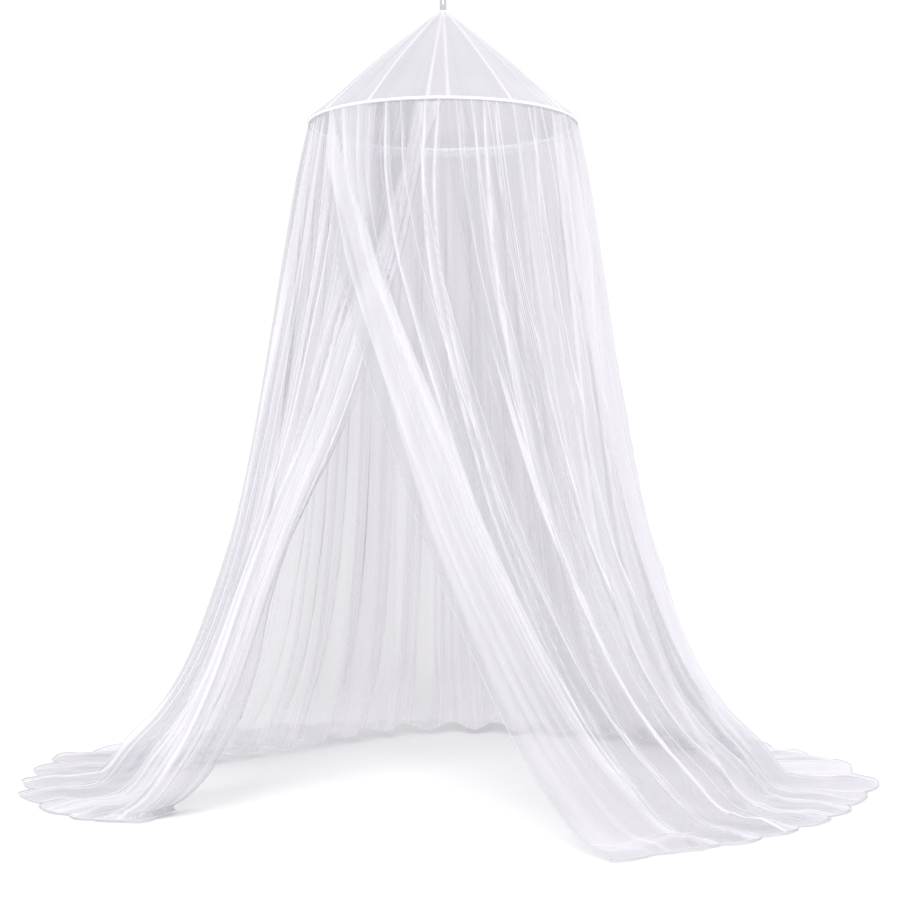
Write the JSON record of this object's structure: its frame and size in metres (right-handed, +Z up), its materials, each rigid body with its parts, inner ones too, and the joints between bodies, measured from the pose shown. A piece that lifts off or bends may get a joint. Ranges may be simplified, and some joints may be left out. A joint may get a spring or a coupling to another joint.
{
  "type": "mosquito net canopy with hoop",
  "caption": "Round mosquito net: net curtain gathered on one hoop under a cone roof, parted in front, hung from a tape loop, its hem lying on the floor.",
  "frame": {"origin": "Inside top of the hanging loop, where the hook carries the canopy; the floor it reaches is 2.470 m below.", "axes": "+Z up along the canopy's axis through the loop; the opening in the curtain faces -Y; +X is to the right seen from the front."},
  "size_m": [2.6604, 2.3341, 2.478],
  "materials": {
    "net": "fine white mosquito netting, sheer and soft",
    "roof_net": "fine white mosquito netting, drawn taut",
    "casing": "white woven binding, matt",
    "rod": "white plastic rod",
    "tape": "grey woven tape"
  },
  "bodies": {
    "root": {"skirt": "net", "roof_cone": "roof_net", "hoop": "rod", "hoop_sleeve": "casing", "hanging_loop": "tape"}
  },
  "joints": []
}
